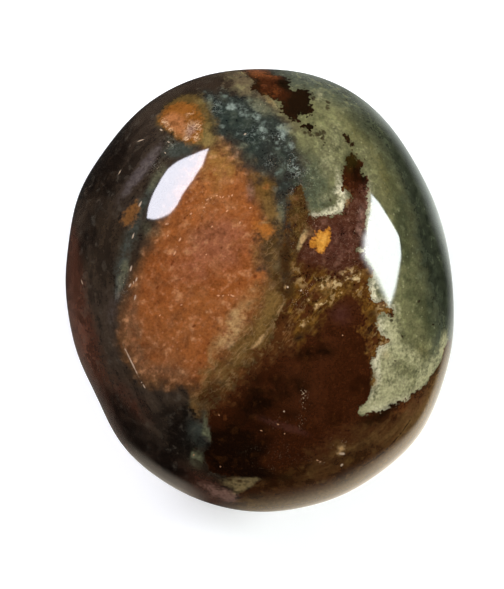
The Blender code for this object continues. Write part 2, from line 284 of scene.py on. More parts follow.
# Soft changes of tone, each one a dab that fades out all round it: its middle, its reach along
# and across, its turn from the x axis in degrees, and its strength
WASHES = {
    "soot": (
        (-19.4, 23.4, 3, 2, 50, 0.25), (-23.6, -18.6, 4, 1.4, 128, 0.35), (-14, -25.6, 3, 1.7, -35, 0.8),
        (-11, -20, 1.1, 1.4, 0, 0.9), (-27, 21.5, 10, 3, 52, 1), (-24, 17.4, 5, 2, 60, 0.5),
        (-28.6, 9, 5, 1.8, 78, 0.7), (-20.4, -24.6, 7, 2.6, -48, 0.75), (-13.6, -22.6, 2, 2.2, 0, 0.8),
        (-25, -17, 4, 2, -52, 0.15), (-11.4, -25.6, 1.4, 1.6, 0, 0.5), (-13, -19.6, 3, 1.4, 0, 0.5),
        (-14, -29.6, 4, 1.4, -38, 0.6), (16.2, 19, 1, 2, 0, 0.5), (17.4, 18.4, 0.5, 2, 10, 0.8),
        (-4.6, -26.5, 4.4, 3.8, 0, 1.7), (-0.5, -18.6, 3.6, 1.4, 10, 0.3), (9, -10.2, 4, 1.3, 8, 0.7),
        (7.2, 31.8, 1.6, 2.6, 0, 1.2), (4.2, 34.8, 1.3, 1.2, 0, 1.1), (8.4, 27.6, 1, 0.7, 0, 1.2),
        (4.6, 31.8, 1.6, 1.4, 0, 0.45), (5.2, 30, 2, 2, 0, 0.5), (24.5, -16, 6, 1.4, 42, 1),
        (19, -21.2, 3, 1, 10, 0.6), (0.5, -15.5, 4, 2.4, 0, 0.5), (0, -20, 6, 4, 0, 0.3),
        (1, -30.5, 5, 1, -8, 0.6), (-1, -34, 1.4, 0.8, 0, 0.5), (-16.4, -20.6, 2.4, 1.4, -40, 0.35),
        (16, 20, 1.2, 1.6, 0, 0.3), (5, -20, 2, 1.4, 0, 0.3), (6, -15.5, 3.4, 2, 0, 0.4),
    ),
    "liver": (
        (-31.4, 1, 5.6, 2, 92, 1), (-30.4, -7.4, 6, 2.4, 98, 1.8), (-27.8, -14, 7, 3, 116, 0.7),
        (-21, -19, 5, 2, 130, 0.5), (-24, -21.5, 6, 2.2, 130, 0.4), (-15, -29, 5, 2, 148, 0.6),
        (-9, -32.6, 4, 2, 155, 0.8), (-30.4, -8.5, 4, 2, 103, 0.6), (27.5, -17.5, 4, 2, 50, 0.9),
        (-9, -35, 5, 1.2, 165, 0.8), (-31.6, 8.4, 4, 1.4, 104, 0.9), (-24.6, -23.4, 6, 1, 132, 0.8),
    ),
    "rose": (
        (-6.5, 8.5, 5, 4.5, 0, 1), (-20, 20, 5.5, 0.9, 52, 1.2), (13.2, 8, 3, 3, 0, 1),
        (13.5, -3.5, 3, 2.2, 0, 0.6), (-12, 4, 5, 4, 0, 0.5), (-24.5, -3, 5, 1.4, 80, 0.3),
        (3.5, -22.2, 5.5, 0.7, -19, 0.8),
    ),
    "honey": (
        (-6, 22, 4.5, 3.2, 0, 1), (-9, 18, 4, 3, 45, 0.5), (14, -24, 8, 3, 25, 0.3),
        (-8.8, 28, 0.8, 1.6, 0, 0.25), (-9.2, -14.4, 2, 1.4, 45, 0.6), (17, 28.5, 5, 4, -40, 0.7),
        (21.5, 19.5, 2.4, 6, 12, 0.8), (8, -4, 4, 3, 50, 0.6), (5, -30, 6, 1.6, 0, 0.4),
        (0.8, 34.8, 2.6, 1.5, -45, 0.5), (14.2, 17.2, 0.5, 0.5, 0, 1), (-8.6, 25.6, 0.9, 1.6, 20, 1.2),
        (28, -15, 6, 3, 50, 0.3), (27, -10, 1.8, 1.6, 0, 0.6),
    ),
    "dusk": (
        (-17.5, -14, 7, 1.6, 0, 0.8), (-22, -8, 5, 1.2, 98, 0.6), (-8.5, -16, 3, 1.2, 40, 0.3),
        (-18.5, -8.6, 5, 4.6, 0, 0.4), (-13, -12.5, 4, 2, 0, 0.3), (5, 20, 1.4, 1.2, 0, 1),
        (-20.6, 1, 1.4, 5, -14, 0.5), (-21.2, -6, 6, 1.3, 98, 0.8), (-19.4, -13, 2.6, 1.6, -50, 1),
        (3.2, -4, 1.4, 6, -30, 0.3), (2.6, 20.5, 4, 2.6, 0, 0.8), (2.2, 25, 3, 2, 0, 0.5),
        (-8, 33.8, 3.4, 1.2, 10, 1), (-7, -17.6, 2.4, 2, 40, 0.9), (1.6, 7.5, 1.2, 3, 0, 0.8),
        (5, 8, 0.8, 2.5, 0, 0.6),
    ),
    "lagoon": (
        (-4.5, 28.5, 5, 2, -30, 1), (-1, 24.6, 3, 2, -30, 0.6), (9.5, 16.2, 3.4, 3, 0, 1),
        (8, 20.4, 2.6, 4, 0, 0.8), (-18.6, 16.4, 4, 0.9, 62, 0.6), (-21.8, 8.5, 6, 1.5, 70, 0.7),
        (-13.5, 24.4, 3, 0.9, 20, 0.8), (-23.2, 2, 3.4, 0.9, 82, 1), (-9.6, -24, 1.6, 2.4, 0, 1),
        (-13, 23.4, 3, 1, 10, 0.8), (-12, -24.6, 2.4, 2.4, 0, 0.8), (-11.6, -20.6, 1.2, 2.4, 0, 0.6),
    ),
    # dark olive: the dabs down the right side are painted shade that deepens towards the dark band there;
    # the three small ones by the island are the stone's own dark
    "deep_and_shade": (
        (17.5, 27.5, 4, 1.6, -40, 0.5), (22, 21, 3, 2.2, -62, 0.5), (23.2, 14, 5, 1.6, -78, 0.9),
        (24.2, 6, 5, 1.8, -84, 0.8), (26.4, -1.6, 4, 2.6, -78, 0.7), (29.2, -5.6, 3, 2, -66, 0.9),
        (29.4, -10, 2, 1, 60, 0.5), (15.3, 21.8, 1.2, 1.8, 0, 1.2), (14, 19.2, 0.6, 1.2, 0, 0.35),
        (17.2, 19, 0.5, 1.6, 10, 0.7),
    ),
    "bright": (
        (20.6, -12.6, 1.8, 3.6, 0, 0.75), (26, -12, 1.6, 1.4, 0, 0.3), (25.4, -10.8, 2.2, 1.8, 0, 0.55),
        (9.9, 32.8, 0.8, 1.2, 0, 0.6), (11, 16, 2, 1.2, 20, 0.5), (22.4, -16, 4, 2, 25, 0.8),
        (23.4, -18, 1.2, 0.8, 25, 0.4), (11, 20, 2, 2, 0, 0.3), (17.5, -19.7, 1.6, 0.8, 0, 1.7),
        (21.6, -6.6, 1.8, 3.6, 0, 1.1), (19.4, -18.4, 2, 1.4, 20, 1), (28, -13.4, 4.5, 0.9, 56, 1.3),
        (30.6, -8.4, 2, 0.6, 80, 1.2), (23, -10, 1.6, 1.4, 0, 0.6), (17.2, 23.6, 1.4, 1, 0, 0.4),
        (11.5, 24, 2.6, 3, 0, 0.4), (13.2, 27.5, 2, 3, 0, 0.25),
    ),
    # Cream fringe along the heart. The long dab at (18, 12) and the one at (22, -2) lie beside the right
    # window's mirror image: partly that fringe, partly a painted haze of the reflection
    "cream": (
        (12, 13.6, 1.2, 0.6, 20, 1), (13.3, 15.8, 1, 1.2, 0, 1), (13.2, 17.2, 0.8, 1.6, 0, 0.5),
        (10, 12.9, 1.6, 0.4, 8, 0.4), (12.9, 19.2, 0.5, 1.4, 0, 0.25), (13.5, 14.2, 0.8, 0.6, 0, 1.2),
        (8.8, 12.8, 0.8, 0.4, 10, 0.5), (18.8, -1, 1, 3.4, 0, 0.8), (20, -8, 1.4, 4, 0, 0.6),
        (19.2, -15, 1, 5, 0, 0.6), (24, -18.4, 6, 0.9, 25, 0.5), (18, 12, 0.8, 5, 0, 0.5),
        (-1.2, 35.2, 0.7, 0.5, 0, 1), (-2, 33, 1.2, 0.8, 0, 0.3), (2, 31.6, 2, 0.8, -48, 0.8),
        (17.2, 7.2, 0.7, 0.8, 0, 1.5), (22, -2, 1.5, 1.4, 0, 0.5),
    ),
    "moss": (
        (-9.1, -21.2, 0.5, 1.6, 0, 1), (-8.9, -23.3, 0.7, 0.6, 0, 1.3), (-10.4, -27.6, 1.2, 1.6, 0, 0.7),
        (-10.4, -18.4, 1.6, 1, 0, 0.5), (-8.2, -24.4, 0.5, 0.8, 0, 0.5), (-11.1, -27.1, 0.3, 0.4, 0, 1),
    ),
    "fawn": (
        (-4.6, -5.6, 5.6, 1.9, 55, 1), (-8.2, -11.6, 3, 1.2, 60, 0.1), (2.6, -4.6, 4, 0.9, 61, 0.3),
        (-1.6, 0, 3, 1.4, 60, 0.5), (-7.5, -9.5, 1.2, 1, 50, 0.4),
    ),
    # Pinkish tints of the stone. The three dabs low at the bottom rim are partly a painted reflection of a
    # finger held there; the two at (17, 13.4) and (16.6, 10), at the left edge of the right window's mirror
    # image, are a painted haze of that reflection
    "blush": (
        (-6, -33.8, 2.2, 1, -15, 0.75), (-4.6, -34.2, 1, 0.9, 0, 0.7), (-8.4, -32.6, 2.4, 0.9, -25, 0.55),
        (-11.6, 26.9, 0.9, 1.3, -20, 0.9), (-1.6, 16.6, 0.9, 2.4, 0, 0.5), (17, 13.4, 0.8, 1.6, 0, 0.5),
        (16.6, 10, 0.7, 2, 0, 0.5), (-5.4, -8.8, 2, 0.8, 35, 0.4),
    ),
    "straw": (
        (-1.4, -31.2, 1.6, 0.3, 0, 0.7), (-1.4, -31.9, 1.2, 0.3, 45, 0.7), (-3.3, -32.9, 1.6, 0.5, 30, 1),
        (-4, -31.8, 2.4, 0.9, -5, 0.75), (7, 8.9, 0.35, 1.5, -18, 1.2), (6.4, 7.4, 0.3, 0.6, 0, 0.8),
        (7.6, 10.2, 0.5, 0.3, 0, 0.6), (0.9, 11.6, 1, 0.16, 0, 0.7), (2.4, 11, 0.2, 0.5, 30, 0.7),
        (14.4, 14.9, 0.5, 0.8, 0, 0.7), (14.9, 16.6, 0.3, 0.5, 0, 0.6), (21, -10.4, 1.2, 1.4, 0, 0.5),
    ),
    "frost": (
        (5.3, 21.8, 0.9, 2, 0, 0.7), (3.4, 13.4, 0.7, 2, 0, 0.6), (6.2, 20, 1.2, 0.8, 0, 0.5),
        (1.6, 21.4, 2, 1.2, 0, 0.3), (-1, 26.4, 2.4, 1.4, 0, 0.4), (3.6, 25.6, 1.4, 1, 0, 0.5),
        (5.2, 16.8, 1.2, 0.4, 50, 0.8), (-15, 24.8, 1.2, 0.8, -30, 0.7), (-17.6, 21, 1.4, 1, 30, 0.4),
        (-23, 1.4, 0.9, 2.4, 0, 0.6), (8.2, 19, 1.6, 3, 0, 0.3), (10.6, 13.6, 2, 0.6, 0, 0.3),
        (-7.6, 31, 1.6, 1.4, 0, 0.5), (-4.6, 21.4, 0.7, 0.7, 0, 0.4), (5.6, 16.8, 0.5, 0.8, 0, 0.7),
    ),
    "sprinkle": (
        (7.4, -17.6, 0.35, 1.4, 8, 1.6), (7, -20.6, 0.5, 1.3, -10, 1.8), (9.8, -28.2, 1, 0.4, 0, 0.8),
        (-14.8, 24.6, 0.6, 0.4, 0, 0.5), (3, -21.8, 1.4, 1, 0, 0.3), (13.4, -25, 2, 1, 0, 0.3),
        (-6, -0.5, 1.2, 0.2, 0, 1), (2.6, -27.6, 4, 2, 0, 0.25), (9.4, 12, 2, 2, 0, 0.3),
        (16.4, 9.4, 1, 4, 0, 0.6), (5.4, 22, 0.8, 1.2, 0, 0.5), (6.6, 18.6, 1.4, 2.4, 0, 0.3),
        (3.4, 12.4, 1, 3, 0, 0.3), (5.6, 9, 0.7, 2.6, 0, 0.3), (2.4, 21, 1.6, 1.4, 0, 0.3),
        (-22.6, 2, 1.4, 2.4, 0, 0.5), (-17, 21.6, 1.6, 2, 0, 0.5), (7, -0.4, 1.2, 2.4, -30, 0.6),
        (-10.6, 14.6, 2.4, 2.4, 0, 0.5), (0.5, 31.4, 2, 1, -45, 0.5),
    ),
    "glint": (
        (11.4, 1.3, 2.4, 0.8, 12, 1), (15.8, 2.8, 2.6, 1.1, 20, 1), (20.4, -5, 1, 3.4, 0, 0.7),
        (9.8, -2, 1.2, 0.5, 35, 1), (7.9, -1.4, 1.6, 0.4, 50, 0.7), (7.4, -5.4, 1, 0.8, 40, 0.6),
        (14.2, -0.4, 3, 1, 20, 0.4), (7, 2.6, 2.4, 1.6, 0, 0.3),
    ),
    "curd": (
        (-11.7, 27.2, 0.8, 1, -20, 0.8), (-10.4, 27.6, 0.7, 0.6, 0, 0.8), (-12.3, 25.5, 0.5, 0.4, 0, 1),
        (-10.6, 26, 0.5, 0.8, 30, 1), (-15.9, 28.2, 0.4, 0.7, 0, 0.8), (-14.8, 27, 1.4, 0.3, -52, 0.7),
        (-11.6, 29.7, 0.8, 0.3, 25, 0.5),
    ),
    "umber": (
        (4.4, 5, 0.9, 4, 0, 1), (3, 7, 1, 1.4, 0, 0.4), (2.2, 9, 0.6, 0.6, 0, 0.7),
        (-5, -31.3, 0.5, 0.25, 0, 1), (-3.4, -31.5, 0.5, 0.25, 0, 1.2), (-4.7, -32.3, 0.3, 0.2, 0, 0.5),
        (18, -6.8, 0.6, 0.8, 0, 0.7), (22, -4, 0.5, 0.4, 0, 0.8), (4, 6, 0.7, 0.5, 0, 0.8),
        (2.6, 2.5, 0.7, 0.7, 0, 0.8), (6.5, -7.6, 1, 0.5, 25, 1.6), (1.2, 16.3, 0.6, 0.3, 20, 0.9),
        (-6, -11.4, 1.2, 0.6, 40, 0.5), (4.8, 0.3, 1.2, 1.4, 0, 1), (3, 1, 1, 1, 0, 0.5),
        (18.8, -4, 1, 1.6, 0, 1), (8, -6, 1, 0.9, 0, 0.6), (17, -2, 0.9, 1, 0, 0.3),
        (7, 0, 0.9, 0.8, 0, 0.4), (-19, -14, 1.3, 1, 0, 0.4), (6.9, 16.9, 0.4, 0.5, 0, 0.7),
        (-3.6, 1.3, 0.5, 0.3, 0, 0.5), (7, 14, 0.4, 1.6, 10, 0.6), (2, -7.4, 0.8, 1.6, -30, 0.4),
        (-0.4, -11.4, 3, 0.7, 50, 0.5), (3, 0.2, 0.5, 0.5, 0, 0.4),
    ),
    "khaki": (
        (2, -1.8, 1.6, 2.4, -30, 0.7), (0, -5.8, 3.4, 1.2, 58, 0.7), (-3.6, -11.4, 2.8, 1, 50, 0.5),
        (2, 12.6, 1.4, 1.8, 0, 0.8), (1.6, 15.2, 1.2, 1.6, 0, 0.8), (3.4, 10.6, 0.8, 1.6, 0, 0.6),
        (1.6, 31.9, 1.6, 0.6, -45, 0.6), (-0.8, 5.4, 0.8, 3, 0, 0.5), (5, 16, 0.9, 1.1, 0, 0.5),
        (6.5, 10, 0.7, 1.2, 0, 0.6), (15, 1, 1.4, 1, 10, 0.6), (11, 0, 1.3, 0.8, 0, 0.9),
        (-2, -15, 1.6, 1.2, 40, 0.3), (15, -28, 1.8, 1, 30, 0.35), (-7.2, 28, 0.9, 1.6, 0, 0.4),
        (19, -15, 0.7, 2.4, 0, 0.8), (5, 14, 0.8, 1.2, 0, 0.4), (-1, 22, 1, 1, 0, 0.4),
        (1, 14, 1, 1, 0, 0.5),
    ),
    "tan": (
        (13.6, -26.2, 0.75, 1, -10, 0.8), (13.1, -27, 0.4, 0.4, 0, 0.8), (7, 8.6, 0.4, 1.3, -18, 1.1),
        (-9.2, 20, 1.6, 3, -25, 0.35), (-4.6, -4, 1.6, 1, 50, 0.6), (20.2, -2.3, 0.9, 0.7, 0, 0.5),
        (7.8, 9.4, 0.6, 0.6, 0, 0.5), (-4.6, -6.6, 3.4, 1.1, 50, 0.8), (-6.3, -7.8, 1.6, 1, 45, 0.35),
        (-0.1, -8.2, 1, 0.5, 60, 1), (1, -6.7, 0.9, 0.24, 55, 0.8), (2.1, -5, 0.6, 0.2, 66, 0.6),
        (3.7, -2.3, 1, 0.22, 50, 0.8), (2.9, -3.5, 0.5, 0.25, 70, 0.5), (-3, -3.8, 1.6, 0.9, 50, 0.3),
        (-1.2, -9.1, 1, 0.3, 35, 0.5), (-4.6, -8.4, 2, 1.2, 40, 0.25), (9.5, -2.4, 0.7, 0.35, 25, 1.2),
        (11.5, 1.2, 0.8, 0.4, 25, 1.2), (7.3, -5.4, 0.7, 0.4, 60, 0.6), (5.4, 3.6, 0.4, 1.8, 0, 0.4),
        (4.2, 0.9, 0.3, 0.6, 10, 0.7), (7.2, -1.8, 1.4, 0.2, 48, 0.6), (-2.6, -0.4, 1.4, 1, 0, 0.4),
        (0, 5, 0.3, 0.8, 0, 0.3),
    ),
    "brick": (
        (23.4, -19.4, 3, 0.9, 42, 0.35), (-0.7, 2.6, 1, 0.7, 20, 1), (0.6, 3, 0.7, 1, 0, 0.8),
        (-2, 14, 1, 1.4, 0, 0.6), (-9.4, 17, 3, 2, 50, 0.8), (-11.4, 12.4, 1.8, 1.8, 0, 0.7),
        (-3, 20, 1.2, 1.2, 0, 0.5), (2.6, 33.4, 1.5, 1.2, 0, 0.3), (-12.7, 30.5, 1, 0.6, 0, 0.5),
        (1, 17.5, 0.7, 0.6, 0, 0.6), (14.2, 19.2, 0.6, 0.8, 0, 0.2), (14.6, 15, 0.4, 0.6, 0, 0.5),
        (15.4, 16.4, 0.8, 0.9, 0, 0.3), (6.2, 15.6, 0.5, 1, 0, 0.3), (-5.8, -21, 0.4, 0.8, 0, 0.4),
    ),
    "smoke": (
        (3.4, 13.2, 0.8, 2.2, 0, 1), (3.4, 8.4, 1, 1.6, 0, 0.2), (2.8, 4.4, 1, 1, 0, 0.5),
        (1.9, 1, 0.8, 1, 0, 0.4), (-16.2, 22, 1.4, 0.8, 40, 0.2), (4.4, 27.6, 1.2, 0.8, 0, 0.7),
        (-3, 24.5, 1.4, 0.8, 0, 0.6), (0, 31, 2.4, 1.2, -30, 1.1), (-2, 22.2, 1.4, 0.9, -50, 0.6),
        (-8.4, 31.4, 0.6, 1.2, 0, 0.7), (8.2, 14.2, 0.5, 1.4, 20, 0.6), (7, 22, 1, 1.2, 0, 0.6),
        (-22.8, 3, 0.8, 2.6, -14, 1), (-16.4, 20, 0.9, 1.6, -40, 0.6), (-17.8, 18.2, 0.8, 2, -30, 0.5),
        (-19, 10.4, 1, 1.6, 0, 0.5), (-17, 10, 1, 1.4, 0, 0.4), (-5, 26, 1, 1, 0, 0.4),
        (-15, 25.2, 1.4, 1.2, 0, 0.4),
    ),
    "melt": (
        (-7, -17, 5, 2.6, 48, 1), (-2.2, -11.6, 4, 1.6, 48, 0.8), (4.4, 2.4, 2, 3.5, 0, 1),
        (4.5, 8, 1.6, 4, 0, 0.9), (-2.9, -5, 5, 2.2, 60, 0.9), (-7.5, -12, 5, 2.4, 60, 1),
        (0.2, 3, 2, 3, 0, 0.5), (4.6, 14, 1.2, 4, 0, 0.3), (-0.4, 14, 1.4, 6, 0, 0.5),
        (-14, -15.5, 6, 1, 0, 0.4), (-5, 23, 3, 2.4, 0, 0.6), (-1.6, 18.6, 1.6, 3, 0, 0.6),
        (-1, 8, 1.6, 4, 0, 0.4),
    ),
    "clouds": (
        (-5, 30.8, 0.8, 0.7, 0, 1), (-0.4, 31, 2, 0.9, -30, 0.6), (-3.2, 29.6, 0.8, 0.6, 0, 0.6),
        (-0.7, 29, 1, 0.8, 0, 0.8), (0.2, 27.2, 0.8, 0.7, 0, 0.8), (-1, 26.3, 0.5, 0.4, 0, 0.8),
        (0.6, 25.6, 0.5, 0.6, 0, 0.8), (2.8, 24.8, 0.5, 0.5, 0, 0.8), (3.8, 25.8, 0.5, 0.6, 0, 0.7),
        (4.3, 27.5, 1.6, 1.2, 0, 1), (-3, 24.6, 1.6, 1, 0, 0.5), (5.3, 24.4, 0.7, 0.9, 0, 1),
        (5.4, 21.7, 0.5, 0.7, 0, 0.7), (6.6, 21.4, 0.5, 0.7, 0, 0.7), (8.4, 22.2, 0.5, 0.5, 0, 0.6),
        (-8.4, 32.2, 0.7, 1, 0, 0.7), (-2.6, 30.6, 2.4, 1, -30, 0.5), (-22.8, 2.8, 0.5, 0.8, 0, 0.9),
        (-23.4, 1.4, 0.5, 1, 0, 0.9), (-23.8, -0.6, 0.5, 0.9, 0, 0.8), (-8.4, -22.6, 0.5, 0.8, 0, 0.7),
    ),
}

# Flecks and grains that stand out one by one: both ends, the half width, in mm
FLECKS = {
    "quartz": (
        (-19.8, 15, -20.2, 14.2, 0.22), (-21, 9.7, -21.3, 9, 0.22), (-21.4, 4.3, -21.6, 3.6, 0.22),
        (-20.5, 2.4, -20.7, 1.8, 0.2), (-21.5, 1.4, -21.8, 0.9, 0.2), (-20.7, -0.5, -20.9, -1.3, 0.2),
        (-20.6, 25, -19.2, 25.5, 0.14), (-23.6, 19.6, -23.2, 20.3, 0.16), (-15.4, 25.1, -15.1, 24.9, 0.14),
        (-16.6, 27.1, -16.3, 26.9, 0.18), (-29.8, 2, -29.5, 1.2, 0.15), (-22.9, -8.6, -20, -14.6, 0.2),
        (-19.5, -15.4, -19.1, -16.1, 0.16), (4, -19.9, 4, -19.9, 0.18), (13.6, -28.9, 13.7, -28.7, 0.28),
        (13.3, -26.9, 14, -27, 0.3), (4.6, 0.8, 4.6, 0.9, 0.22), (6.8, 0.2, 6.9, 0.3, 0.2),
        (-2.6, 26.2, -2.4, 26.4, 0.2), (-15.9, 23.3, -15.7, 23.1, 0.12),
    ),
    "salmon": (
        (-7.3, 16, -7.1, 16.1, 0.16), (-6.3, 15.7, -6.1, 15.9, 0.16), (-4.7, 16, -4.6, 16.2, 0.18),
        (-8.9, 15.3, -8.6, 15.5, 0.15), (-9.4, 14.1, -9.2, 14.1, 0.14), (-5.6, 13.4, -5.4, 13.6, 0.18),
        (-3.4, 11.5, -3.3, 11.7, 0.16), (-8.1, 10.8, -7.9, 11, 0.15), (-4.7, -0.6, -4.3, -0.7, 0.18),
        (-7.1, -0.6, -6.8, -0.6, 0.18), (-6, -0.6, -5.9, -0.5, 0.12), (-5.3, -0.5, -5.2, -0.5, 0.12),
        (-14.3, 6.3, -14.1, 6.7, 0.2), (-13.5, 8.5, -13.2, 9, 0.2), (-15.4, 9.3, -15.3, 9.5, 0.15),
        (-15.8, 11.3, -15.3, 11.4, 0.2), (-1.7, 14, -1.5, 14.1, 0.16), (2.9, -22, 3.1, -22.1, 0.12),
        (4.1, -23.6, 4.1, -23.6, 0.13), (0, -23, 0.4, -23.2, 0.1), (-6.6, -29.2, -6.6, -29, 0.12),
        (9.5, -28, 9.5, -28, 0.12), (9.8, -28.4, 10.2, -28.2, 0.1), (-11.1, -27.2, -11, -27.1, 0.15),
        (-6.9, -20.4, -6.8, -20.6, 0.13), (13.7, -7.3, 13.8, -7.2, 0.1), (-16.8, -4, -16.6, -3.8, 0.14),
        (-13.2, -2.2, -13, -2.1, 0.14), (-9, 6.2, -8.9, 6.3, 0.13), (-11.6, 13, -11.4, 13.1, 0.15),
    ),
    "ink": (
        (9.5, 26.2, 9.6, 26.3, 0.58), (10.6, 26.7, 10.7, 26.5, 0.58), (10.4, 25.6, 10.5, 25.5, 0.5),
        (8.9, 32.4, 8.9, 32.1, 0.54), (11.2, 31.7, 11.3, 31.6, 0.56), (11.2, 30.7, 11.2, 30.6, 0.52),
        (8.4, 26.3, 8.4, 26.2, 0.44), (6.3, -7.8, 6.9, -7.4, 0.34), (21.7, -3.8, 22, -3.7, 0.3),
        (21.8, -4.8, 22, -4.7, 0.34), (11.7, 15.3, 11.7, 15.3, 0.34), (26.4, -1.6, 26.6, -1.5, 0.3),
        (28.7, -5.4, 29, -5.4, 0.25), (-10.8, -26.1, -10.6, -26.1, 0.35), (7.4, 26.6, 7.6, 26.6, 0.45),
        (25.3, -20.9, 23.5, -23.5, 0.26), (23.4, -23.6, 21.3, -26.1, 0.3), (21.1, -26.3, 19, -27.9, 0.34),
        (18.8, -28, 16.9, -29.2, 0.26), (10.6, 24.5, 10.6, 24.4, 0.26), (17.4, 22.2, 17.5, 22.1, 0.22),
        (19.5, 24.3, 19.6, 24.2, 0.2), (23.6, -7.2, 23.8, -7.6, 0.22), (22.4, -11.4, 22.6, -11.5, 0.22),
    ),
    "russet": (
        (-10.5, 18.8, -10.2, 19, 0.3), (-10.4, 10.5, -10.3, 10.6, 0.24), (-14.8, 4.4, -14.4, 5.4, 0.26),
        (-11.2, -5.8, -10.8, -5.6, 0.3), (-3.5, 1.3, -3.4, 1.5, 0.24), (-0.9, 2.5, -0.7, 2.6, 0.34),
        (-12.6, 12.2, -12.5, 12.4, 0.24), (-17.2, 0.6, -17, 0.9, 0.24), (-8.6, -8.6, -8.4, -8.5, 0.22),
    ),
}


def within(outline, tone=None, most=1.0):
    """A layer that fills an outline out to its broken edge, with the mineral of that name or another."""
    return (tone or outline, outline + "_edge", -1, 1, most)


